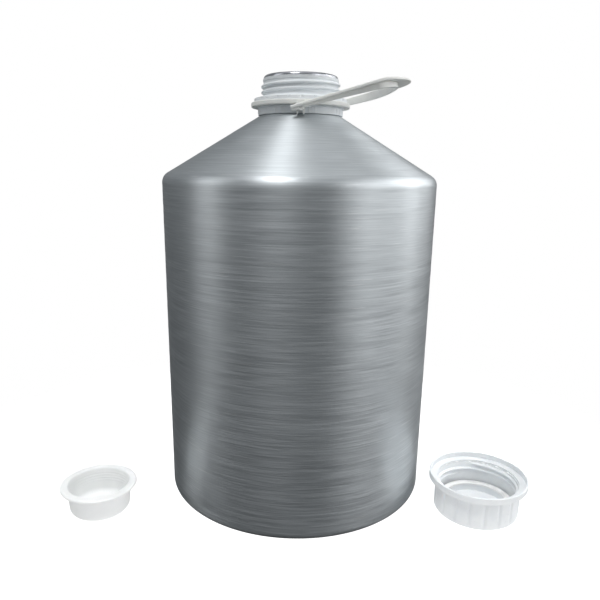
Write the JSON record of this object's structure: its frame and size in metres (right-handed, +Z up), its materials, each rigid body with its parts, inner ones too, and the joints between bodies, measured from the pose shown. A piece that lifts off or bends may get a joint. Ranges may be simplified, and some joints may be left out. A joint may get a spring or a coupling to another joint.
{
  "type": "aluminium laboratory bottle",
  "caption": "Spun aluminium bottle with a conical shoulder, threaded plastic neck collar, swivel bail handle, inner plug and screw cap with a tamper-evident band.",
  "frame": {"origin": "on the bottle's axis, in the plane it stands on", "axes": "+Z up along the bottle's axis, -Y is the front, and +X points along the handle as it lies at rest, towards the side where the cap stands"},
  "size_m": [0.37, 0.216, 0.3344],
  "materials": {
    "spun_aluminium": "fine circumferential brushed lines left by spinning, satin",
    "collar_plastic": "injection moulded polyethylene, cool white, slight sheen",
    "handle_plastic": "injection moulded polyethylene, warm white, slight sheen",
    "cap_plastic": "injection moulded polyethylene, cool white, slight sheen",
    "gasket_foam": "fine closed-cell polyethylene foam with a smooth skin",
    "plug_plastic": "unpigmented soft polyethylene, milky and translucent"
  },
  "bodies": {
    "bottle": {"bottle_shell": "spun_aluminium", "neck_collar": "collar_plastic"},
    "ring": {"handle_ring": "handle_plastic"},
    "handle": {"carry_handle": "handle_plastic"},
    "cap": {"cap_shell": "cap_plastic", "band_bridges": "cap_plastic", "lock_band": "cap_plastic", "cap_gasket": "gasket_foam"},
    "plug": {"inner_plug": "plug_plastic"}
  },
  "joints": [
    {"name": "ring_swivel", "type": "hinge", "parent": "bottle", "child": "ring", "pos_m": [0, 0, 0.3128], "axis": [0, 0, 1], "continuous": true},
    {"name": "handle_swing", "type": "hinge", "parent": "ring", "child": "handle", "pos_m": [0, 0, 0.30849], "axis": [0, -1, 0], "range_deg": [-33, 182]},
    {"name": "cap_lift", "type": "slide", "parent": "bottle", "child": "cap", "axis": [0, 0, 1], "range_m": [0, 0.1]},
    {"name": "plug_lift", "type": "slide", "parent": "bottle", "child": "plug", "axis": [0, 0, 1], "range_m": [0, 0.1]}
  ]
}
